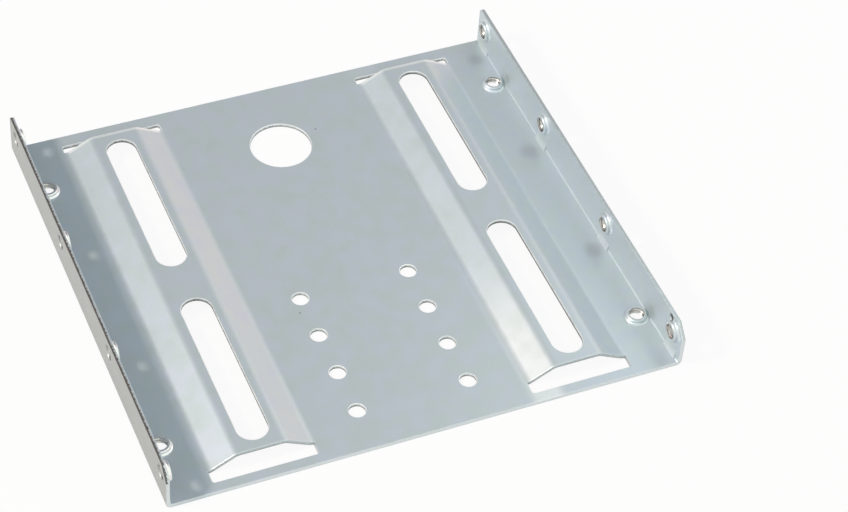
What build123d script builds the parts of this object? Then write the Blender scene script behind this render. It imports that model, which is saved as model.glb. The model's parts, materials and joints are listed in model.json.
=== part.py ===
"""Drive bay adapter bracket: one folded steel sheet, in millimetres, +Z up.

The origin is on the underside of the floor, in the middle of the width and the length.
The width runs along X and the length along Y. The front is at -Y.
"""
from build123d import *
import os

os.makedirs("parts", exist_ok=True)

# Folded channel
width = 101.6
length = 95.5
wall_height = 9.4
sheet = 0.8
bend_inner_radius = 0.3
front_corner_cut = 2.6
front_corner_round = 1.2
back_corner_round = 0.6

# Raised ribs, each lanced free of the floor at both ends
rib_spacing = 62.5
rib_rise = 2.75
rib_foot_width = 19.2
rib_crown_width = 9.05
rib_foot_radius = 3.8
rib_crown_radius = 2.2

# Window that each rib is lanced from, and the strips of floor beyond its ends
window_side_margin = 0.5
window_corner_radius = 0.5
front_strip = 2.1
front_gap = 2.8
back_strip = 2.9
back_gap = 1.85

# Slots in the rib crowns, one under each mounting hole of the small drive
slot_width = 6.0
slot_from_rib_front = 1.95
slot_from_rib_back = 2.55
slot_web = 9.15

# Collars pulled from the sheet and tapped, all of one form
collar_bore = 2.9
collar_wall = 0.55
collar_foot_flare = 0.5
collar_height = 0.85
collar_rim_round = 0.15
collar_entry_round = 0.35

# Floor collars, on the bottom holes of a large drive
floor_collar_from_side = 3.175
floor_collar_from_front = 13.15
floor_collar_from_back = 13.85

# Wall collars, at the side holes of a large drive
wall_collar_from_top = 3.05
wall_collar_from_front = 3.25
wall_collar_from_back = 3.6
wall_collar_count = 4

# Flat pressed across the inner bend below each wall collar
bend_flat_length = 4.1
bend_flat_on_floor = 0.45
bend_flat_on_wall = 1.5

# Plain holes
big_hole = 12.3
big_hole_from_back = 16.5
small_hole = 3.2
small_hole_spacing = 22.1
small_hole_pitch = 9.8
small_hole_rows = 4
small_hole_from_front = 9.2
pip_hole = 1.7
pip_hole_behind_collar = 1.65
pip_hole_above_collar = 1.85

# How far a cut runs past the faces that it opens
cut_past = 1.0

# Places that follow from the sizes above
sides = (-1, 1)
half_width = width / 2
front_edge = -length / 2
back_edge = length / 2
window_front = front_edge + front_strip
window_back = back_edge - back_strip
window_width = rib_foot_width + 2 * window_side_margin
rib_front = window_front + front_gap
rib_back = window_back - back_gap
rib_places = (-rib_spacing / 2, rib_spacing / 2)
slot_length = (rib_back - rib_front - slot_from_rib_front - slot_from_rib_back - slot_web) / 2
slot_places = (
    rib_front + slot_from_rib_front + slot_length / 2,
    rib_back - slot_from_rib_back - slot_length / 2,
)
floor_collar_x = half_width - floor_collar_from_side
floor_collar_rows = (front_edge + floor_collar_from_front, back_edge - floor_collar_from_back)
wall_collar_z = wall_height - wall_collar_from_top
wall_collar_front = front_edge + wall_collar_from_front
wall_collar_back = back_edge - wall_collar_from_back
wall_collar_pitch = (wall_collar_back - wall_collar_front) / (wall_collar_count - 1)
wall_collar_rows = [wall_collar_front + number * wall_collar_pitch for number in range(wall_collar_count)]
small_hole_middle = front_edge + small_hole_from_front + small_hole_pitch * (small_hole_rows - 1) / 2
collar_rim_radius = collar_bore / 2 + collar_wall
collar_foot_radius = collar_rim_radius + collar_foot_flare


def rib_profile(rib_x):
    """Section of one rib: a trapezoid of the sheet whose feet run on into the floor beside the window."""
    reach = window_width / 2 + rib_foot_radius
    with BuildSketch(Plane.XZ.offset(-rib_back)) as profile:
        with BuildLine() as underside:
            Polyline(
                (rib_x - reach, 0),
                (rib_x - rib_foot_width / 2, 0),
                (rib_x - rib_crown_width / 2, rib_rise),
                (rib_x + rib_crown_width / 2, rib_rise),
                (rib_x + rib_foot_width / 2, 0),
                (rib_x + reach, 0),
            )
            feet = underside.vertices().sort_by(Axis.X)[1::3]
            fillet(feet, rib_foot_radius)
            crown = underside.vertices().group_by(Axis.Y)[-1].sort_by(Axis.X)
            fillet([crown[0], crown[-1]], rib_crown_radius)
            offset(amount=sheet, side=Side.LEFT)
        make_face()
    return profile.sketch


def half_plane(spot):
    """Plane through a collar's axis: x runs out from the axis and y along it, into the tray."""
    return Plane(spot.origin, x_dir=spot.x_dir, z_dir=-spot.y_dir)


def collar_profile(spot):
    """Half section of one collar's metal, from the middle of the sheet up to its rim."""
    with BuildSketch(half_plane(spot)) as profile:
        with BuildLine():
            rim_height = sheet + collar_height
            Polyline(
                (collar_rim_radius, sheet + collar_foot_flare),
                (collar_rim_radius, rim_height - collar_rim_round),
                (collar_rim_radius - collar_rim_round, rim_height),
                (0, rim_height),
                (0, sheet / 2),
                (collar_foot_radius, sheet / 2),
                (collar_foot_radius, sheet),
            )
            CenterArc((collar_foot_radius, sheet + collar_foot_flare), collar_foot_flare, 180, 90)
        make_face()
    return profile.sketch


def bore_profile(spot):
    """Half section of one collar's bore, rounded where the metal was drawn in."""
    entry_radius = collar_bore / 2 + collar_entry_round
    with BuildSketch(half_plane(spot)) as profile:
        with BuildLine():
            Polyline(
                (collar_bore / 2, collar_entry_round),
                (collar_bore / 2, sheet + collar_height + cut_past),
                (0, sheet + collar_height + cut_past),
                (0, -cut_past),
                (entry_radius, -cut_past),
                (entry_radius, 0),
            )
            CenterArc((entry_radius, collar_entry_round), collar_entry_round, 180, 90)
        make_face()
    return profile.sketch


def bend_flat_profile(side, middle):
    """Section of the metal under one flat: a wedge that fills the inner corner between floor and wall."""
    inner_x = half_width - sheet
    with BuildSketch(Plane.XZ.offset(-middle - bend_flat_length / 2)) as profile:
        with BuildLine():
            Polyline(
                (side * (inner_x - bend_flat_on_floor), sheet),
                (side * inner_x, sheet + bend_flat_on_wall),
                (side * (inner_x + sheet / 2), sheet + bend_flat_on_wall),
                (side * (inner_x + sheet / 2), sheet / 2),
                (side * (inner_x - bend_flat_on_floor), sheet / 2),
                close=True,
            )
        make_face()
    return profile.sketch


# Where each collar starts on the outside of the sheet, with z pointing into the tray
collar_spots = [
    Plane((side * floor_collar_x, row, 0), x_dir=(1, 0, 0), z_dir=(0, 0, 1))
    for side in sides
    for row in floor_collar_rows
]
collar_spots += [
    Plane(
        (side * half_width, row, wall_collar_z),
        x_dir=(0, 1, 0),
        z_dir=(-side, 0, 0),
    )
    for side in sides
    for row in wall_collar_rows
]

with BuildPart() as bracket:
    # Channel: the outer block with rounded lower edges, less the space between the walls
    with BuildSketch(Plane.XZ.offset(-back_edge)) as outside:
        Rectangle(width, wall_height, align=(Align.CENTER, Align.MIN))
        fillet(outside.vertices().group_by(Axis.Y)[0], bend_inner_radius + sheet)
    extrude(amount=length)
    with BuildSketch(Plane.XZ.offset(-back_edge)) as inside:
        with Locations((0, sheet)):
            Rectangle(width - 2 * sheet, wall_height, align=(Align.CENTER, Align.MIN))
        fillet(inside.vertices().group_by(Axis.Y)[0], bend_inner_radius)
    extrude(amount=length, mode=Mode.SUBTRACT)

    # Side outline: the front top corners of both walls are cut off, the back ones only eased
    with BuildSketch(Plane.YZ.offset(-half_width)) as side_outline:
        with BuildLine():
            Polyline(
                (front_edge, 0),
                (back_edge, 0),
                (back_edge, wall_height),
                (front_edge + front_corner_cut, wall_height),
                (front_edge, wall_height - front_corner_cut),
                close=True,
            )
        make_face()
        top_corners = side_outline.vertices().group_by(Axis.Y)[-1].sort_by(Axis.X)
        fillet(top_corners[-1], back_corner_round)
        fillet(top_corners[0], front_corner_round)
    extrude(amount=width, mode=Mode.INTERSECT)

    # Windows in the floor, and the ribs that bridge them from side to side
    with BuildSketch() as windows:
        for rib_x in rib_places:
            with Locations((rib_x, (window_front + window_back) / 2)):
                RectangleRounded(window_width, window_back - window_front, window_corner_radius)
    extrude(amount=sheet, mode=Mode.SUBTRACT)
    for rib_x in rib_places:
        extrude(rib_profile(rib_x), amount=rib_back - rib_front)

    # Slots through the rib crowns
    with BuildSketch() as slots:
        for rib_x in rib_places:
            with Locations(*[(rib_x, slot_y) for slot_y in slot_places]):
                SlotOverall(slot_length, slot_width, rotation=90)
    extrude(amount=rib_rise + sheet + cut_past, mode=Mode.SUBTRACT)

    # Flats across the inner bends
    for side in sides:
        for row in wall_collar_rows:
            extrude(bend_flat_profile(side, row), amount=bend_flat_length)

    # Tapped collars: metal first, then the bores
    for spot in collar_spots:
        revolve(collar_profile(spot), axis=Axis(spot.origin, spot.z_dir))
    for spot in collar_spots:
        revolve(bore_profile(spot), axis=Axis(spot.origin, spot.z_dir), mode=Mode.SUBTRACT)

    # Plain holes in the floor
    with BuildSketch() as floor_holes:
        with Locations((0, back_edge - big_hole_from_back)):
            Circle(big_hole / 2)
        with Locations((0, small_hole_middle)):
            with GridLocations(small_hole_spacing, small_hole_pitch, 2, small_hole_rows):
                Circle(small_hole / 2)
    extrude(amount=sheet, mode=Mode.SUBTRACT)

    # One small hole in the right wall, above and behind the front collar
    pip_place = (wall_collar_front + pip_hole_behind_collar, wall_collar_z + pip_hole_above_collar)
    with BuildSketch(Plane.YZ.offset(half_width - sheet - cut_past)) as pip:
        with Locations(pip_place):
            Circle(pip_hole / 2)
    extrude(amount=sheet + 2 * cut_past, mode=Mode.SUBTRACT)

bracket.part.label = "bracket"
export_step(bracket.part, "parts/bracket.step")
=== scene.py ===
"""Looks for the drive bay adapter bracket: its cut edges, threads, zinc finish and studio.

The file is laid out as an add-on and is run as a script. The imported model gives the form.
Lengths are in metres, and a name that ends in _mm is in millimetres.
"""

import json
import math

import bmesh
import bpy
from mathutils import Matrix, Vector


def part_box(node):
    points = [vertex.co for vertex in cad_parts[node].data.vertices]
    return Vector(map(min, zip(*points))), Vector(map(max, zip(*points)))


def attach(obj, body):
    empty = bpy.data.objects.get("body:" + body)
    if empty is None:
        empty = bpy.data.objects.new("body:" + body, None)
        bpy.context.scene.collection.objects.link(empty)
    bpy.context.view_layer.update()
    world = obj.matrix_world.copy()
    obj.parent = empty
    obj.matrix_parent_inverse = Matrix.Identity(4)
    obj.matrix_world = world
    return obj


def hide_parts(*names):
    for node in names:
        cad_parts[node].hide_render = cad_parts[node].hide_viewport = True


bl_info = {
    "name": "Drive bay bracket looks",
    "version": (1, 0, 0),
    "blender": (4, 5, 0),
    "location": "3D View > Sidebar > Bracket",
    "description": "Dresses the packed bracket and sets up its studio",
    "category": "Object",
}

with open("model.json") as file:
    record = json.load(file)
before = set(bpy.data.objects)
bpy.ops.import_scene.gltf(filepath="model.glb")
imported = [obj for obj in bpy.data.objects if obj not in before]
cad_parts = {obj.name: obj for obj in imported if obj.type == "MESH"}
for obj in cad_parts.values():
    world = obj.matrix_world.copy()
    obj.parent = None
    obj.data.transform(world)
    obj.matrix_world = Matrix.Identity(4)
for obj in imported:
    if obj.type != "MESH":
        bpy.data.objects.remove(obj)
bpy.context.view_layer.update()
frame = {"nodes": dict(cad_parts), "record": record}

MM = 0.001
NODE = "bracket"
BODY = "root"
MOUNTS = {mount["name"]: mount for mount in frame["record"]["mounts"]}
HALF_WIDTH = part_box(NODE)[1].x
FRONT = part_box(NODE)[0].y
SHEET = 0.8 * MM

# Material slots of the sheet
PLATE, EDGE, THREAD = range(3)

# Attributes that the finish reads: vertices carry the depth and the drawn metal with its painted highlight,
# and faces the rest, whose rim and edge tones also hold painted highlight and painted shade
DEPTH = "sheet_depth"
RIM = "edge_rim"
TORN = "edge_torn_and_shade"
BRIGHT = "edge_bright_and_highlight"
DRAWN = "collar_drawn_and_sheen"

# Where the outer skin is found: under the middle of the floor, and under the middle of each rib's crown
RIB_SLOTS = ("left_rib_slots", "right_rib_slots")
UNDERSIDES = [Vector()] + [Vector(MOUNTS[name]["pos_m"]) - Vector((0, 0, SHEET / 2)) for name in RIB_SLOTS]

# Angle from which two faces meet at an edge, as cut and as shaded, and angle up to which they are one face
EDGE_ANGLE = math.radians(35)
SHADED_EDGE_ANGLE = math.radians(38)
FLAT_ANGLE = math.radians(0.2)

# Distance at which vertices are one, and height below which an upright side isn't a cut edge
WELD = 0.0001 * MM
STEP = 0.1 * MM

# Where the walls stand, how far in from their outside they count, and a length over the small hole's in one
WALL_SKIN = HALF_WIDTH - 1.1 * MM
WALL_BAND = 2.5 * SHEET
WALL_HOLE = 1.8 * MM

# How far back the front edge and the ribs' front ends lie at most, and a height that only the ribs are above
FRONT_EDGE = FRONT + 1 * MM
RIB_FRONTS = FRONT + 6 * MM
RAISED = 2 * MM

# Heights and reach of a collar's drawn metal from its start, and reach and slack to find its bore's wall
COLLAR_FOOT, COLLAR_TOP = SHEET + 0.02 * MM, 2.5 * SHEET
COLLAR_REACH = 2.45 * MM
BORE_REACH, BORE_SLACK = 3 * MM, 0.004 * MM

# Tones of the cut edges, each as how bright it is by the inner skin and how dark where it tore. They are set
# by place and by facing, and hold painted light: a painted highlight on the front edge and in the small wall
# hole's upper part, painted shade in that hole's lower part, and the left wall's top darker than the right's
WALL_HOLE_TONES = (1.0, 1.0)
LEFT_TOP_TONES = (0.3, 1.0)
RIGHT_TOP_TONES = (0.3, 0.3)
FRONT_EDGE_TONES = (0.7, 0.05)
RIB_FRONT_TONES = (0.3, 0.3)
OTHER_BRIGHT, OTHER_TORN = 0.5, 0.1
# Painted shade: extra darkness of a torn part, by how far its cut faces -x or -y, in ribs and in the floor
FACING_SHADE_IN_RIB, FACING_SHADE_IN_FLOOR = 0.7, 0.5

# How bright the rounds along the cut edges are, from wear and painted highlight, and how strong the painted
# highlight on the flats in the bends is
WALL_RIM, FRONT_RIM, OTHER_RIM, BEND_FLAT_SHEEN = 0.1, 0.25, 1.0, 0.3

# How bright the collars at the left and at the right are drawn, with a painted highlight that makes the left
# ones far brighter
DRAWN_SHEEN_LEFT, DRAWN_SHEEN_RIGHT = 1.0, 0.1

# Shares of half a turn of thread at which its flat crest starts and its root ends
CREST_FROM, ROOT_TO = 0.85, 0.10

# Grains of the metal's noises in a metre
WAVES, MOTTLE, GRAIN = 45, 260, 2600

# Ranges of the noise over which the plating turns cool, rims show their wear and painted highlight, and the
# metal grows rougher or stained
COOL_RANGE = (0.35, 0.65)
WORN_RANGE, WORN_LEAST = (0.3, 0.6), 0.5
ROUGH_RANGE = (0.3, 0.7)
THREAD_STAIN = 0.25

# Depth in the sheet, from 0 to 1, at which a cut turns torn, and how far that line wavers
TORN_LINE, TORN_WAVER = (0.32, 0.52), 1.2

# Painted highlight along the right rib's inner flank, in x and in y
FLANK_SHEEN_MIDDLE, FLANK_SHEEN_CORE, FLANK_SHEEN_REACH = 23.6 * MM, 1.6 * MM, 4.0 * MM
FLANK_SHEEN_FROM, FLANK_SHEEN_TO, FLANK_SHEEN_LEAST = -38 * MM, -8 * MM, 0.15

# Painted highlight along the back ends of both ribs, in y, in z and in x
END_SHEEN_FROM, END_SHEEN_TO = 42.0 * MM, 42.6 * MM
END_SHEEN_LOW, END_SHEEN_HIGH = SHEET, 1.5 * SHEET
END_SHEEN_WIDE, END_SHEEN_END = 42 * MM, 43 * MM

# Share of a round mark's reach over which it is at full strength
MARK_CORE = 0.2

# Soft dark painted shade marks, standing for reflections of dark holes and collars and for contact shade, and
# small dark specks in the plating, each as x, y, z and reach in millimetres
SHADE_MARKS_MM = (
    (47.4, -15.9, 0.8, 3.0), (46.7, 13.3, 0.8, 3.0), (47.3, 42.1, 0.8, 2.6),
    (50.0, -36.1, 2.65, 1.8), (50.0, 32.2, 3.2, 1.6),
)
SPECKS_MM = (
    (-25.83, -33.12, 2.5, 0.32), (-23.65, -33.36, 1.6, 0.36), (-12.42, -12.59, 0.8, 0.3),
    (8.22, 33.39, 0.8, 0.3), (50.0, 12.73, 1.25, 0.25), (50.0, -22.06, 1.75, 0.2),
)


class BracketForm(bpy.types.PropertyGroup):
    """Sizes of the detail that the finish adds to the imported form."""

    inner_round: bpy.props.FloatProperty(
        name="Inner edge round",
        description="Width of the round where the punch drew the sheet's upper skin down",
        default=0.14 * MM, min=0, unit="LENGTH")
    outer_round: bpy.props.FloatProperty(
        name="Outer edge round",
        description="Width of the round along the outer side of each cut edge",
        default=0.05 * MM, min=0, unit="LENGTH")
    thread_pitch: bpy.props.FloatProperty(
        name="Thread pitch", description="Distance from one turn of the thread to the next",
        default=0.794 * MM, min=0, unit="LENGTH")
    thread_depth: bpy.props.FloatProperty(
        name="Thread depth", description="How far the thread is cut into a collar's bore",
        default=0.27 * MM, min=0, unit="LENGTH")
    thin_thread_depth: bpy.props.FloatProperty(
        name="Thread depth by the small hole",
        description="Depth in the collar that has a hole cut close to it",
        default=0.13 * MM, min=0, unit="LENGTH")
    thread_runout: bpy.props.FloatProperty(
        name="Thread runout",
        description="Length over which the thread fades out at both ends of a bore",
        default=0.2 * MM, min=0, unit="LENGTH")
    ring_step: bpy.props.FloatProperty(
        name="Ring step", description="Distance between the rings that a threaded wall is made of",
        default=0.05 * MM, min=0, unit="LENGTH")


class BracketFinish(bpy.types.PropertyGroup):
    """Colours and surface of the plated sheet and of what was cut through it."""

    plate: bpy.props.FloatVectorProperty(
        name="Plate", description="Main colour of the zinc plating",
        subtype="COLOR", size=3, default=(0.56, 0.63, 0.65), min=0, max=1)
    # Painted shade: the outer skin's plating is greyer and also darker, standing in for its dimmer light
    plate_outside_shaded: bpy.props.FloatVectorProperty(
        name="Plate, outside", description="Greyer plating of the sheet's outer skin",
        subtype="COLOR", size=3, default=(0.41, 0.43, 0.435), min=0, max=1)
    plate_cool: bpy.props.FloatVectorProperty(
        name="Plate, cool patches", description="Bluish patches in the plating",
        subtype="COLOR", size=3, default=(0.55, 0.61, 0.68), min=0, max=1)
    # Near-white of worn rims with painted highlight, also used for the painted highlights on the right rib's
    # flank and the ribs' back ends
    rim: bpy.props.FloatVectorProperty(
        name="Worn and highlighted rim", description="Colour where an edge has rubbed bright",
        subtype="COLOR", size=3, default=(0.90, 0.92, 0.92), min=0, max=1)
    burnish: bpy.props.FloatVectorProperty(
        name="Burnished cut", description="Upper part of a cut edge, rubbed smooth by the punch",
        subtype="COLOR", size=3, default=(0.83, 0.87, 0.91), min=0, max=1)
    fracture: bpy.props.FloatVectorProperty(
        name="Torn cut", description="Lower part of a cut edge, where the steel tore",
        subtype="COLOR", size=3, default=(0.13, 0.12, 0.115), min=0, max=1)
    # Near-white of the drawn collars, partly painted highlight, taken fully by the left collars
    drawn: bpy.props.FloatVectorProperty(
        name="Drawn collar", description="Collars, drawn bright by their punch",
        subtype="COLOR", size=3, default=(0.95, 0.94, 0.93), min=0, max=1)
    # Colour of the dark specks and of the painted shade marks
    grime_and_painted_shade: bpy.props.FloatVectorProperty(
        name="Grime and painted shade", description="Smudges and specks on the plating",
        subtype="COLOR", size=3, default=(0.20, 0.20, 0.19), min=0, max=1)
    thread: bpy.props.FloatVectorProperty(
        name="Thread", description="Bare steel of the cut threads",
        subtype="COLOR", size=3, default=(0.60, 0.58, 0.56), min=0, max=1)
    # Strength of the painted highlight on the right rib's inner flank
    flank_sheen_share: bpy.props.FloatProperty(
        name="Painted flank highlight", description="How far the right rib's inner flank pales",
        subtype="FACTOR", default=0.6, min=0, max=1)
    # Strength of the painted highlight along the ribs' back ends
    end_sheen_share: bpy.props.FloatProperty(
        name="Painted end highlight", description="How bright the ribs' back ends have rubbed",
        subtype="FACTOR", default=0.7, min=0, max=1)
    # How dark the painted shade marks are
    shade_mark_share: bpy.props.FloatProperty(
        name="Painted shade marks", description="How dark the soft smudges are",
        subtype="FACTOR", default=0.22, min=0, max=1)
    speck_share: bpy.props.FloatProperty(
        name="Specks", description="How dark the small specks are",
        subtype="FACTOR", default=0.75, min=0, max=1)
    plate_metallic: bpy.props.FloatProperty(
        name="Plate metallic", description="Metallic share of the plating",
        subtype="FACTOR", default=0.6, min=0, max=1)
    drawn_metallic: bpy.props.FloatProperty(
        name="Collar metallic", description="Metallic share of the drawn collars",
        subtype="FACTOR", default=0.9, min=0, max=1)
    edge_metallic: bpy.props.FloatProperty(
        name="Cut metallic", description="Metallic share of the cut edges",
        subtype="FACTOR", default=0.7, min=0, max=1)
    plate_roughness: bpy.props.FloatVectorProperty(
        name="Plate roughness", description="Least and most roughness of the plating",
        size=2, default=(0.40, 0.46), min=0, max=1)
    drawn_polish: bpy.props.FloatProperty(
        name="Collar polish", description="How much less rough the drawn collars are",
        subtype="FACTOR", default=0.12, min=0, max=1)
    edge_roughness: bpy.props.FloatVectorProperty(
        name="Cut roughness", description="Roughness of the burnished and of the torn part of a cut",
        size=2, default=(0.35, 0.6), min=0, max=1)
    thread_roughness: bpy.props.FloatProperty(
        name="Thread roughness", description="Roughness of the cut threads",
        subtype="FACTOR", default=0.22, min=0, max=1)
    plate_bump: bpy.props.FloatProperty(
        name="Plate bump", description="Depth of the plating's waves and grain",
        default=0.12 * MM, min=0, unit="LENGTH")
    edge_bump: bpy.props.FloatProperty(
        name="Cut bump", description="Depth of the cut edges' grain",
        default=0.02 * MM, min=0, unit="LENGTH")
    thread_bump: bpy.props.FloatProperty(
        name="Thread bump", description="Depth of the threads' grain",
        default=0.01 * MM, min=0, unit="LENGTH")


class BracketStudio(bpy.types.PropertyGroup):
    """The studio's light, ground and camera."""

    lamp_power: bpy.props.FloatProperty(
        name="Lamp power", description="Power of the lamp at the left",
        default=4.33, min=0, subtype="POWER")
    lamp_colour: bpy.props.FloatVectorProperty(
        name="Lamp colour", description="Colour of the lamp at the left",
        subtype="COLOR", size=3, default=(1.0, 0.865, 0.776), min=0, max=1)
    surroundings: bpy.props.FloatVectorProperty(
        name="Surroundings", description="Light from all round",
        subtype="COLOR", size=3, default=(1.01, 1.07, 1.02), min=0, max=4)
    backdrop: bpy.props.FloatVectorProperty(
        name="Backdrop", description="Darker patch of the surroundings behind the bracket",
        subtype="COLOR", size=3, default=(0.0, 0.036, 0.092), min=0, max=4)
    warm_side: bpy.props.FloatVectorProperty(
        name="Warm side", description="Warmer patch of the surroundings low at the right",
        subtype="COLOR", size=3, default=(1.24, 0.93, 0.88), min=0, max=4)
    backdrop_elevation: bpy.props.FloatProperty(
        name="Backdrop elevation",
        description="Height of the darker patch's middle, straight behind along +Y",
        default=math.radians(37), subtype="ANGLE")
    backdrop_reach: bpy.props.FloatProperty(
        name="Backdrop reach", description="Angle over which the darker patch fades out",
        default=math.radians(80), subtype="ANGLE")
    warm_azimuth: bpy.props.FloatProperty(
        name="Warm side azimuth", description="Turn of the warmer patch's middle from +Y towards +X",
        default=math.radians(65), subtype="ANGLE")
    warm_elevation: bpy.props.FloatProperty(
        name="Warm side elevation", description="Height of the warmer patch's middle",
        default=math.radians(8), subtype="ANGLE")
    warm_reach: bpy.props.FloatProperty(
        name="Warm side reach", description="Angle over which the warmer patch fades out",
        default=math.radians(55), subtype="ANGLE")
    ground: bpy.props.FloatVectorProperty(
        name="Ground", description="Colour of the ground where light falls on it",
        subtype="COLOR", size=3, default=(0.60, 0.60, 0.60), min=0, max=1)
    ground_glow: bpy.props.FloatProperty(
        name="Ground glow", description="Share of plain white in the ground that the camera sees",
        subtype="FACTOR", default=0.92, min=0, max=1)
    mirrored_glow: bpy.props.FloatProperty(
        name="Mirrored glow", description="Share of plain white in the ground that the metal mirrors",
        subtype="FACTOR", default=0.3, min=0, max=1)
    ground_gap: bpy.props.FloatProperty(
        name="Ground gap", description="How far the ground lies below the bracket",
        default=0.02 * MM, min=0, unit="LENGTH")
    lamp_size: bpy.props.FloatProperty(
        name="Lamp size", description="Width of both lamps, which sets how soft their shadows are",
        default=0.115, min=0, unit="LENGTH")
    lamp_place: bpy.props.FloatVectorProperty(
        name="Lamp place", description="Where the lamp hangs",
        subtype="TRANSLATION", size=3, default=(-0.55, 0.03, 0.525), unit="LENGTH")
    fill_power: bpy.props.FloatProperty(
        name="Fill power", description="Power of the weak lamp at the right",
        default=0.058, min=0, subtype="POWER")
    fill_colour: bpy.props.FloatVectorProperty(
        name="Fill colour", description="Colour of the weak lamp at the right",
        subtype="COLOR", size=3, default=(0.88, 1.0, 1.0), min=0, max=1)
    fill_place: bpy.props.FloatVectorProperty(
        name="Fill place", description="Where the weak lamp hangs",
        subtype="TRANSLATION", size=3, default=(0.16, 0.05, 0.20), unit="LENGTH")
    lens: bpy.props.FloatProperty(
        name="Lens", description="Focal length of the camera in millimetres",
        default=111.58, min=1)
    camera_place: bpy.props.FloatVectorProperty(
        name="Camera place", description="Where the camera stands",
        subtype="TRANSLATION", size=3, default=(-0.139194, -0.322096, 0.367850), unit="LENGTH")
    camera_azimuth: bpy.props.FloatProperty(
        name="Camera azimuth",
        description="Turn of the view about the upright, from straight ahead along +Y",
        default=math.radians(-26.107), subtype="ANGLE")
    camera_elevation: bpy.props.FloatProperty(
        name="Camera elevation", description="How far the view looks down",
        default=math.radians(46.250), subtype="ANGLE")
    camera_roll: bpy.props.FloatProperty(
        name="Camera roll", description="Turn of the picture about the line of sight",
        default=math.radians(5.0), subtype="ANGLE")


def mount_points(name):
    """Places of a pattern's holes in a flat list, and the way out of them."""
    mount = MOUNTS[name]
    axis = Vector(mount["axis"])
    across = [Vector(row) for row in Matrix.Identity(3) if abs(axis.dot(row)) < 0.5]
    spans = [mount["dims"].get(key) for key in ("spacing_x_mm", "spacing_y_mm")]
    points = [Vector(mount["pos_m"])]
    for direction, span in zip(across, spans):
        if span:
            points = [p + side * span / 2 * MM * direction for p in points for side in (-1, 1)]
    return points, axis


def collars():
    """Each tapped collar: its start on the outside of the sheet, its way in and its bore's radius."""
    found = []
    for name in MOUNTS:
        if "tapped" in name:
            points, out = mount_points(name)
            radius = MOUNTS[name]["dims"]["hole_r_mm"] * MM
            for point in points:
                start = point.copy()
                if abs(out.z) > 0.5:
                    start.z = 0
                else:
                    start.x = HALF_WIDTH * out.x
                found.append((start, -out, radius))
    return found


def spread(seed):
    """The faces that a face reaches without crossing an edge of the sheet."""
    reached, waiting = {seed}, [seed]
    while waiting:
        face = waiting.pop()
        for edge in face.edges:
            if len(edge.link_faces) == 2 and edge.calc_face_angle(0) < EDGE_ANGLE:
                for other in edge.link_faces:
                    if other not in reached:
                        reached.add(other)
                        waiting.append(other)
    return reached


def nearest_face(bm, place, normal):
    """The face nearest to a place, of those that look the given way."""
    facing = [f for f in bm.faces if f.normal.dot(normal) > 0.99]
    return min(facing, key=lambda f: (f.calc_center_median() - place).length)


def edge_tones_and_painted_light(face, in_wall_hole):
    """How bright a cut face is by the inner skin, and how dark its torn part is. Both are chosen by place and
    facing, and hold painted highlight and painted shade.
    """
    centre = face.calc_center_median()
    # The small wall hole's cut gets a painted highlight above and painted shade below
    if in_wall_hole:
        return WALL_HOLE_TONES
    if face.normal.z > 0.7:
        return LEFT_TOP_TONES if centre.x < 0 else RIGHT_TOP_TONES
    # The front edge gets a painted highlight
    if centre.y < FRONT_EDGE:
        return FRONT_EDGE_TONES
    if centre.y < RIB_FRONTS:
        return RIB_FRONT_TONES
    torn = FACING_SHADE_IN_RIB if centre.z > RAISED else FACING_SHADE_IN_FLOOR
    # Painted shade: cuts that face -x or -y get a darker torn part
    return OTHER_BRIGHT, OTHER_TORN + torn * max(0, -face.normal.x, -face.normal.y)


def lines_wall_hole(verts):
    """Whether a patch of cut faces, given by its vertices, lines a small hole in a wall."""
    across, along = ([v.co[axis] for v in verts] for axis in (0, 1))
    on_wall = min(map(abs, across)) > HALF_WIDTH - WALL_BAND
    return on_wall and max(across) - min(across) < WALL_BAND and max(along) - min(along) < WALL_HOLE


def sort_faces(bm):
    """Mark the depth of every vertex in the sheet, and give cut faces their own material slot and tones."""
    for name in (DEPTH, DRAWN):
        bm.verts.layers.float.new(name)
    for name in (RIM, TORN, BRIGHT):
        bm.faces.layers.float.new(name)
    rim, bright, torn = (bm.faces.layers.float[name] for name in (RIM, BRIGHT, TORN))
    depth = bm.verts.layers.float[DEPTH]
    inner = spread(nearest_face(bm, Vector((0, 0, SHEET)), Vector((0, 0, 1))))
    outer = set()
    for place in UNDERSIDES:
        outer |= spread(nearest_face(bm, place, Vector((0, 0, -1))))
    inner_verts = {v for f in inner for v in f.verts}
    outer_verts = {v for f in outer for v in f.verts}
    for vert in outer_verts:
        vert[depth] = 1
    left = set(bm.faces) - inner - outer
    while left:
        patch = spread(next(iter(left)))
        left -= patch
        verts = {v for f in patch for v in f.verts}
        if verts & inner_verts and verts & outer_verts:
            in_wall_hole = lines_wall_hole(verts)
            for face in patch:
                heights = [v.co.z for v in face.verts]
                if max(heights) - min(heights) > STEP or abs(face.normal.z) > 0.5:
                    face.material_index = EDGE
                    face[bright], face[torn] = edge_tones_and_painted_light(face, in_wall_hole)
    # Painted highlight on the flats in the bends
    for face in inner:
        on_bend_flat = 0.2 < face.normal.z < 0.4 and abs(face.normal.x) > 0.9
        if on_bend_flat:
            face[rim] = BEND_FLAT_SHEEN


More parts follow.
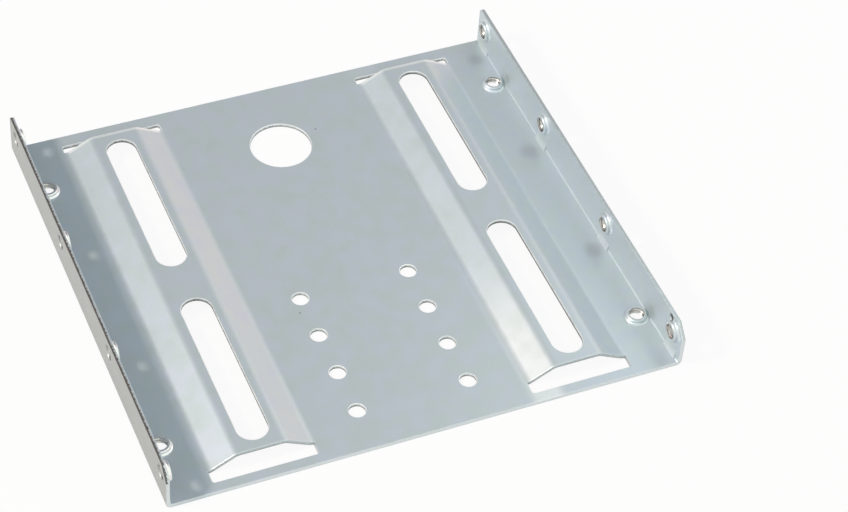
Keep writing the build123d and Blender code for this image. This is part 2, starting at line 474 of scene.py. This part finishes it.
def round_edges(bm, skin, width):
    """Round the edges between the cut faces and one skin, where the faces beside them are wide enough."""
    rim = bm.faces.layers.float[RIM]
    depth = bm.verts.layers.float[DEPTH]
    chosen = {
        e for e in bm.edges
        if len(e.link_faces) == 2
        and e.calc_face_angle(0) > EDGE_ANGLE
        and len({f.material_index for f in e.link_faces}) == 2
        and all(v[depth] == skin for v in e.verts)
    }
    tight = {
        v for e in chosen for v in e.verts
        if any(o.calc_length() < 2 * width for o in v.link_edges if o not in chosen)
    }
    for edge in chosen:
        cut = next(f for f in edge.link_faces if f.material_index == EDGE)
        if cut.calc_area() < 2 * width * edge.calc_length():
            tight.update(edge.verts)
    made = bmesh.ops.bevel(
        bm, geom=[e for e in bm.edges if e in chosen and tight.isdisjoint(e.verts)], offset=width,
        offset_type="OFFSET", affect="EDGES", segments=2, profile=0.5, clamp_overlap=False, material=-1)
    # The new rounds get a rim value for wear and painted highlight, set by place
    for face in made["faces"]:
        face.material_index = PLATE
        centre = face.calc_center_median()
        if abs(centre.x) > WALL_SKIN:
            face[rim] = WALL_RIM
        elif centre.y < RIB_FRONTS:
            face[rim] = FRONT_RIM
        else:
            face[rim] = OTHER_RIM


def mark_collars(bm):
    """Mark the metal that was drawn up out of the sheet round each collar, with a painted highlight that
    makes the left ones brighter.
    """
    drawn = bm.verts.layers.float[DRAWN]
    for start, axis, _ in collars():
        # Painted highlight: the left collars take the drawn colour far more strongly than the right ones
        share = DRAWN_SHEEN_LEFT if start.x < 0 else DRAWN_SHEEN_RIGHT
        for vert in bm.verts:
            height = (vert.co - start).dot(axis)
            beside = (vert.co - start - height * axis).length
            if COLLAR_FOOT < height < COLLAR_TOP and beside < COLLAR_REACH:
                vert[drawn] = share


def thread_radius(angle, height, low, high, bore, depth, form):
    """Radius of the threaded wall at an angle and height. Its grooves fade out at both ends."""
    turn = height / form.thread_pitch - angle / (2 * math.pi)
    from_groove = 2 * abs(turn % 1 - 0.5)
    groove = min(1, max(0, (CREST_FROM - from_groove) / (CREST_FROM - ROOT_TO)))
    fade = min(1, (height - low) / form.thread_runout, (high - height) / form.thread_runout)
    return bore + depth * groove * max(0, fade)


def cut_thread(bm, start, axis, bore, depth, form):
    """Swap a collar's plain bore for rings that follow the thread."""
    side = axis.orthogonal().normalized()
    across = axis.cross(side)

    def height(vert):
        return (vert.co - start).dot(axis)

    def outward(vert):
        return vert.co - start - height(vert) * axis

    near = [v for v in bm.verts if (v.co - start).length < BORE_REACH]
    wall = {v for v in near if abs(outward(v).length - bore) < BORE_SLACK}
    faces = {f for v in wall for f in v.link_faces if wall.issuperset(f.verts)}
    bmesh.ops.delete(bm, geom=list(faces), context="FACES")
    wall = [v for v in wall if v.is_valid]
    open_edges = {e for v in wall for e in v.link_edges if e.is_boundary}
    low, high = min(map(height, wall)), max(map(height, wall))
    lower = [e for e in open_edges if height(e.verts[0]) < (low + high) / 2]
    upper = [e for e in open_edges if height(e.verts[0]) >= (low + high) / 2]
    rings = round((high - low) / form.ring_step)
    ring, thread_verts = lower, set()
    for number in range(1, rings):
        made = bmesh.ops.extrude_edge_only(bm, edges=ring)["geom"]
        verts = {item for item in made if isinstance(item, bmesh.types.BMVert)}
        edges = (item for item in made if isinstance(item, bmesh.types.BMEdge))
        ring = [edge for edge in edges if verts.issuperset(edge.verts)]
        at = low + (high - low) * number / rings
        for vert in verts:
            way = outward(vert).normalized()
            angle = math.atan2(way.dot(across), way.dot(side))
            vert.co = start + at * axis + way * thread_radius(angle, at, low, high, bore, depth, form)
        thread_verts |= verts
    bmesh.ops.bridge_loops(bm, edges=ring + upper)
    for face in {f for v in thread_verts for f in v.link_faces}:
        face.material_index = THREAD


def cut_threads(bm, form):
    """Cut the thread in every collar, shallower in the one beside the small wall hole."""
    found = collars()
    thin = max(found, key=lambda collar: (collar[0].x, collar[0].z, -collar[0].y))
    for collar in found:
        depth = form.thin_thread_depth if collar is thin else form.thread_depth
        cut_thread(bm, *collar, depth, form)


def add(tree, kind, inputs=None, **settings):
    """Add a node with its own settings. Each input is a value to set or a socket to link."""
    node = tree.nodes.new(kind)
    for name, value in settings.items():
        setattr(node, name, value)
    for name, value in (inputs or {}).items():
        if isinstance(value, bpy.types.NodeSocket):
            tree.links.new(value, node.inputs[name])
        else:
            node.inputs[name].default_value = value
    return node


def blend(tree, factor, low, high):
    """A colour mix: low and high are each a colour or a socket."""
    node = add(tree, "ShaderNodeMix", {"Factor": factor}, data_type="RGBA")
    for name, value in (("A", low), ("B", high)):
        socket = next(s for s in node.inputs if s.name == name and s.type == "RGBA")
        if isinstance(value, bpy.types.NodeSocket):
            tree.links.new(value, socket)
        else:
            socket.default_value = (*value, 1)
    return next(s for s in node.outputs if s.type == "RGBA")


def ramp(tree, value, low, high, to_low=0, to_high=1):
    """Map a value's range to another, smoothly and clamped."""
    inputs = {"Value": value, "From Min": low, "From Max": high, "To Min": to_low, "To Max": to_high}
    return add(tree, "ShaderNodeMapRange", inputs, interpolation_type="SMOOTHSTEP").outputs["Result"]


def math_node(tree, operation, *inputs):
    """An arithmetic node on sockets or numbers."""
    return add(tree, "ShaderNodeMath", dict(enumerate(inputs)), operation=operation).outputs["Value"]


def noise(tree, place, scale, detail=3.0, roughness=0.5):
    """Noise of a number of grains a metre."""
    inputs = {"Vector": place, "Scale": scale, "Detail": detail, "Roughness": roughness}
    return add(tree, "ShaderNodeTexNoise", inputs).outputs["Fac"]


def attribute(tree, name):
    """A number kept on the piece's vertices or faces."""
    return add(tree, "ShaderNodeAttribute", attribute_name=name).outputs["Fac"]


def object_place(tree):
    """Place on the piece, in its own coordinates."""
    return add(tree, "ShaderNodeTexCoord").outputs["Object"]


def grain_group():
    """Shared surface of the metal: Height for its bump, Mottle for patches and Fine for specks of tone."""
    group = bpy.data.node_groups.new("Metal grain", "ShaderNodeTree")
    group.interface.new_socket("Vector", in_out="INPUT", socket_type="NodeSocketVector")
    for name in ("Wave share", "Grain share"):
        group.interface.new_socket(name, in_out="INPUT", socket_type="NodeSocketFloat")
    for name in ("Height", "Mottle", "Fine"):
        group.interface.new_socket(name, in_out="OUTPUT", socket_type="NodeSocketFloat")
    source = group.nodes.new("NodeGroupInput")
    out = group.nodes.new("NodeGroupOutput")
    place = source.outputs["Vector"]
    wave = noise(group, place, WAVES, detail=2)
    mottle = noise(group, place, MOTTLE, detail=4, roughness=0.6)
    fine = noise(group, place, GRAIN, detail=3, roughness=0.6)
    waves = math_node(group, "MULTIPLY", wave, source.outputs["Wave share"])
    grains = math_node(group, "MULTIPLY", fine, source.outputs["Grain share"])
    group.links.new(math_node(group, "ADD", waves, grains), out.inputs["Height"])
    group.links.new(mottle, out.inputs["Mottle"])
    group.links.new(fine, out.inputs["Fine"])
    return group


def new_material(name):
    """An empty node material with its output, and its tree."""
    material = bpy.data.materials.new(name)
    material.use_nodes = True
    tree = material.node_tree
    tree.nodes.clear()
    return material, tree


def metal_grain(tree, group, waves, grains):
    """Place the shared grain on the piece's own coordinates."""
    inputs = {"Vector": object_place(tree), "Wave share": waves, "Grain share": grains}
    return add(tree, "ShaderNodeGroup", inputs, node_tree=group).outputs


def finish_metal(tree, grain, bump_depth, inputs):
    """End a metal's material with its shader, given the depth of the grain's bump and the other inputs."""
    bump = add(tree, "ShaderNodeBump", {"Height": grain["Height"], "Strength": 1.0, "Distance": bump_depth})
    shader = add(tree, "ShaderNodeBsdfPrincipled", {**inputs, "Normal": bump.outputs["Normal"]})
    add(tree, "ShaderNodeOutputMaterial", {"Surface": shader.outputs[0]})


def marks(tree, places, strength):
    """Mask of round soft-edged marks at fixed places on the piece."""
    here = object_place(tree)
    mask = 0.0
    for x, y, z, reach in places:
        away = add(tree, "ShaderNodeVectorMath", {0: here, 1: Vector((x, y, z)) * MM}, operation="DISTANCE")
        mark = ramp(tree, away.outputs["Value"], MARK_CORE * reach * MM, reach * MM, strength, 0)
        mask = math_node(tree, "MAXIMUM", mask, mark)
    return mask


def painted_flank_sheen(tree):
    """Mask of a painted highlight on the right rib's inner flank, stronger towards the front."""
    place = add(tree, "ShaderNodeSeparateXYZ", {"Vector": object_place(tree)}).outputs
    beside = math_node(tree, "ABSOLUTE", math_node(tree, "SUBTRACT", place["X"], FLANK_SHEEN_MIDDLE))
    across = ramp(tree, beside, FLANK_SHEEN_CORE, FLANK_SHEEN_REACH, 1, 0)
    along = ramp(tree, place["Y"], FLANK_SHEEN_FROM, FLANK_SHEEN_TO, 1, FLANK_SHEEN_LEAST)
    return math_node(tree, "MULTIPLY", across, along)


def painted_end_sheen(tree):
    """Mask of a painted highlight along the ribs' back ends."""
    place = add(tree, "ShaderNodeSeparateXYZ", {"Vector": object_place(tree)}).outputs
    along = ramp(tree, place["Y"], END_SHEEN_FROM, END_SHEEN_TO)
    raised = ramp(tree, place["Z"], END_SHEEN_LOW, END_SHEEN_HIGH)
    within = ramp(tree, math_node(tree, "ABSOLUTE", place["X"]), END_SHEEN_WIDE, END_SHEEN_END, 1, 0)
    return math_node(tree, "MULTIPLY", along, math_node(tree, "MULTIPLY", raised, within))


def plate_material(finish, group):
    """Zinc plating: cool patches, fine grain, gentle waves, a greyer outer skin darkened as painted shade,
    worn rims with painted highlight, painted highlights on a rib flank and the ribs' back ends, painted shade
    marks and dark specks.
    """
    material, tree = new_material("zinc plate")
    grain = metal_grain(tree, group, waves=1.0, grains=0.02)
    mottle = grain["Mottle"]
    depth, rim, drawn = (attribute(tree, name) for name in (DEPTH, RIM, DRAWN))
    inside = math_node(tree, "SUBTRACT", 1.0, depth)
    colour = blend(tree, ramp(tree, mottle, *COOL_RANGE), finish.plate, finish.plate_cool)
    # Outer skin: greyer plating, darkened as painted shade
    colour = blend(tree, depth, colour, finish.plate_outside_shaded)

    # Worn rims with painted highlight, a painted highlight along the ribs' back ends, and drawn collars with
    # a painted highlight on the left ones
    worn_and_sheen = math_node(tree, "MULTIPLY", rim, ramp(tree, mottle, *WORN_RANGE, WORN_LEAST, 1.0))
    # Painted highlight along the ribs' back ends
    rubbed = math_node(tree, "MULTIPLY", painted_end_sheen(tree), finish.end_sheen_share)
    colour = blend(tree, math_node(tree, "MAXIMUM", worn_and_sheen, rubbed), colour, finish.rim)
    # Drawn collars: brighter metal, with a painted highlight on the left ones
    colour = blend(tree, drawn, colour, finish.drawn)

    # Painted highlight on the right rib's flank, painted shade marks and dark specks, on the inner skin only
    flank_sheen = math_node(tree, "MULTIPLY", painted_flank_sheen(tree), finish.flank_sheen_share)
    colour = blend(tree, math_node(tree, "MULTIPLY", flank_sheen, inside), colour, finish.rim)
    # Painted shade marks for reflections of dark holes and collars and for contact shade, and dark specks
    shade_marks = marks(tree, SHADE_MARKS_MM, finish.shade_mark_share)
    specks = marks(tree, SPECKS_MM, finish.speck_share)
    specks_and_shade_marks = math_node(tree, "MULTIPLY", math_node(tree, "MAXIMUM", shade_marks, specks), inside)
    colour = blend(tree, specks_and_shade_marks, colour, finish.grime_and_painted_shade)

    roughness = ramp(tree, mottle, *ROUGH_RANGE, *finish.plate_roughness)
    finish_metal(tree, grain, finish.plate_bump, {
        "Base Color": colour,
        "Roughness": math_node(tree, "MULTIPLY_ADD", drawn, -finish.drawn_polish, roughness),
        "Metallic": ramp(tree, drawn, 0, 1, finish.plate_metallic, finish.drawn_metallic),
    })
    return material


def edge_material(finish, group):
    """A cut edge: burnished on the punch's side, torn and darker below an uneven line, with painted highlight
    and painted shade in its per-face tones.
    """
    material, tree = new_material("sheared edge")
    grain = metal_grain(tree, group, waves=0.0, grains=1.0)
    depth, bright, torn = (attribute(tree, name) for name in (DEPTH, BRIGHT, TORN))
    waver = math_node(tree, "MULTIPLY_ADD", grain["Fine"], TORN_WAVER, -TORN_WAVER / 2)
    below = ramp(tree, math_node(tree, "ADD", depth, waver), *TORN_LINE)
    dark = math_node(tree, "MULTIPLY", below, torn)
    # Burnished share and torn darkness come from the per-face tones, which hold painted highlight and painted
    # shade
    colour = blend(tree, bright, finish.plate, finish.burnish)
    colour = blend(tree, dark, colour, finish.fracture)
    finish_metal(tree, grain, finish.edge_bump, {
        "Base Color": colour,
        "Roughness": ramp(tree, dark, 0, 1, *finish.edge_roughness),
        "Metallic": finish.edge_metallic,
    })
    return material


def thread_material(finish, group):
    """Bare bright steel, as a tap leaves it."""
    material, tree = new_material("cut thread")
    grain = metal_grain(tree, group, waves=0.0, grains=1.0)
    tone = ramp(tree, grain["Mottle"], *ROUGH_RANGE, 0.0, THREAD_STAIN)
    finish_metal(tree, grain, finish.thread_bump, {
        "Base Color": blend(tree, tone, finish.thread, finish.fracture),
        "Roughness": finish.thread_roughness,
        "Metallic": 1.0,
    })
    return material


def link_object(name, data):
    """Put new data into the scene as an object at the origin."""
    piece = bpy.data.objects.new(name, data)
    bpy.context.scene.collection.objects.link(piece)
    return piece


class BRACKET_OT_sheet(bpy.types.Operator):
    """Dress the folded sheet: round its cut edges, cut its threads and give it its finish"""

    bl_idname = "bracket.sheet"
    bl_label = "Folded sheet"

    def execute(self, context):
        form, finish = context.scene.bracket_form, context.scene.bracket_finish
        bm = bmesh.new()
        bm.from_mesh(frame["nodes"][NODE].data)
        bmesh.ops.remove_doubles(bm, verts=bm.verts, dist=WELD)
        for face in bm.faces:
            face.material_index = PLATE
        sort_faces(bm)
        bmesh.ops.dissolve_limit(
            bm, angle_limit=FLAT_ANGLE, verts=bm.verts, edges=bm.edges, delimit={"MATERIAL"})
        bmesh.ops.connect_verts_concave(bm, faces=[f for f in bm.faces if f.material_index == EDGE])
        for skin, width in ((0, form.inner_round), (1, form.outer_round)):
            round_edges(bm, skin, width)
        mark_collars(bm)
        cut_threads(bm, form)
        bmesh.ops.recalc_face_normals(bm, faces=bm.faces)
        for face in bm.faces:
            face.smooth = True
        mesh = bpy.data.meshes.new("folded_sheet")
        group = grain_group()
        for make in (plate_material, edge_material, thread_material):
            mesh.materials.append(make(finish, group))
        bm.to_mesh(mesh)
        bm.free()
        if "custom_normal" in mesh.attributes:
            mesh.attributes.remove(mesh.attributes["custom_normal"])
        mesh.set_sharp_from_angle(angle=SHADED_EDGE_ANGLE)
        sheet = link_object("folded_sheet", mesh)
        sheet.modifiers.new("Flat skins", "WEIGHTED_NORMAL").keep_sharp = True
        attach(sheet, BODY)
        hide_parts(NODE)
        return {"FINISHED"}


def ground_material(studio):
    """Pale ground: nearly plain white to the camera, less so in the metal, with a faint shadow."""
    material, tree = new_material("white ground")
    path = add(tree, "ShaderNodeLightPath").outputs
    seen = math_node(tree, "MAXIMUM", path["Is Camera Ray"], path["Is Transmission Ray"])
    seen = math_node(tree, "MULTIPLY", seen, studio.ground_glow)
    mirrored = math_node(tree, "MULTIPLY", path["Is Glossy Ray"], studio.mirrored_glow)
    share = math_node(tree, "MAXIMUM", seen, mirrored)
    paper = add(tree, "ShaderNodeBsdfDiffuse", {"Color": (*studio.ground, 1)})
    glow = add(tree, "ShaderNodeEmission", {"Color": (1, 1, 1, 1), "Strength": 1.0})
    mix = add(tree, "ShaderNodeMixShader", {0: share, 1: paper.outputs[0], 2: glow.outputs[0]})
    add(tree, "ShaderNodeOutputMaterial", {"Surface": mix.outputs[0]})
    return material


def make_ground(studio):
    """A wide flat ground under the bracket."""
    half_side = 6.0
    bm = bmesh.new()
    bmesh.ops.create_grid(bm, x_segments=2, y_segments=2, size=half_side)
    bmesh.ops.translate(bm, vec=Vector((0, 0, -studio.ground_gap)), verts=bm.verts)
    mesh = bpy.data.meshes.new("ground")
    bm.to_mesh(mesh)
    bm.free()
    mesh.materials.append(ground_material(studio))
    ground = link_object("ground", mesh)


def soft_patch(tree, way, azimuth, elevation, reach):
    """Mask of a soft round patch of the surroundings, placed by its azimuth from +Y towards +X."""
    level = math.cos(elevation)
    centre = Vector((math.sin(azimuth) * level, math.cos(azimuth) * level, math.sin(elevation)))
    facing = add(tree, "ShaderNodeVectorMath", {0: way, 1: centre}, operation="DOT_PRODUCT")
    off = math_node(tree, "ARCCOSINE", facing.outputs["Value"])
    return ramp(tree, off, 0, reach, 1, 0)


def make_world(studio):
    """Pale surroundings, darker behind and warmer at the right, and plain white to the camera."""
    world = bpy.data.worlds.new("studio")
    bpy.context.scene.world = world
    world.use_nodes = True
    tree = world.node_tree
    tree.nodes.clear()
    way = add(tree, "ShaderNodeTexCoord").outputs["Generated"]
    behind = soft_patch(tree, way, 0, studio.backdrop_elevation, studio.backdrop_reach)
    right = soft_patch(tree, way, studio.warm_azimuth, studio.warm_elevation, studio.warm_reach)
    colour = blend(tree, behind, studio.surroundings, studio.backdrop)
    colour = blend(tree, right, colour, studio.warm_side)
    seen = add(tree, "ShaderNodeLightPath").outputs["Is Camera Ray"]
    colour = blend(tree, seen, colour, (1, 1, 1))
    background = add(tree, "ShaderNodeBackground", {"Color": colour, "Strength": 1.0})
    add(tree, "ShaderNodeOutputWorld", {"Surface": background.outputs[0]})


def make_lamp(name, power, colour, place, size):
    """A round lamp, turned to the bracket."""
    lamp = bpy.data.lights.new(name, "AREA")
    lamp.shape = "DISK"
    lamp.size = size
    lamp.energy = power
    lamp.color = colour
    holder = link_object(name, lamp)
    holder.location = place
    holder.rotation_mode = "QUATERNION"
    holder.rotation_quaternion = (-Vector(place)).to_track_quat("-Z", "Y")


def make_camera(studio):
    """The camera, turned about the upright, then down, then about its line of sight."""
    camera = bpy.data.cameras.new("camera")
    camera.lens = studio.lens
    camera.sensor_width = 36.0
    camera.clip_start = 0.01
    camera.clip_end = 50.0
    holder = link_object("camera", camera)
    turn = Matrix.Rotation(studio.camera_azimuth, 3, "Z")
    tip = Matrix.Rotation(math.pi / 2 - studio.camera_elevation, 3, "X")
    roll = Matrix.Rotation(studio.camera_roll, 3, "Z")
    holder.matrix_world = (turn @ tip @ roll).to_4x4()
    holder.location = studio.camera_place
    bpy.context.scene.camera = holder


class BRACKET_OT_stage(bpy.types.Operator):
    """Set up the ground, the surroundings, the lamps and the camera"""

    bl_idname = "bracket.stage"
    bl_label = "Stage"

    def execute(self, context):
        studio = context.scene.bracket_studio
        make_ground(studio)
        make_world(studio)
        make_lamp("left lamp", studio.lamp_power, studio.lamp_colour, studio.lamp_place, studio.lamp_size)
        make_lamp("right lamp", studio.fill_power, studio.fill_colour, studio.fill_place, studio.lamp_size)
        make_camera(studio)
        context.scene.view_settings.view_transform = "Standard"
        return {"FINISHED"}


class BRACKET_PT_sidebar(bpy.types.Panel):
    """Lists the bracket's operators and settings"""

    bl_idname = "BRACKET_PT_sidebar"
    bl_label = "Bracket"
    bl_space_type = "VIEW_3D"
    bl_region_type = "UI"
    bl_category = "Bracket"

    def draw(self, context):
        for operator in OPERATORS:
            self.layout.operator(operator.bl_idname)
        for name in GROUPS:
            box = self.layout.box()
            settings = getattr(context.scene, name)
            for key in settings.bl_rna.properties.keys():
                if key not in ("rna_type", "name"):
                    box.prop(settings, key)


OPERATORS = (BRACKET_OT_sheet, BRACKET_OT_stage)
GROUPS = {"bracket_form": BracketForm, "bracket_finish": BracketFinish, "bracket_studio": BracketStudio}
CLASSES = (*GROUPS.values(), *OPERATORS, BRACKET_PT_sidebar)


def register():
    for cls in CLASSES:
        bpy.utils.register_class(cls)
    for name, group in GROUPS.items():
        setattr(bpy.types.Scene, name, bpy.props.PointerProperty(type=group))


def unregister():
    for name in GROUPS:
        delattr(bpy.types.Scene, name)
    for cls in reversed(CLASSES):
        bpy.utils.unregister_class(cls)


def main():
    register()
    bpy.ops.bracket.sheet()
    bpy.ops.bracket.stage()


if __name__ == "__main__":
    main()
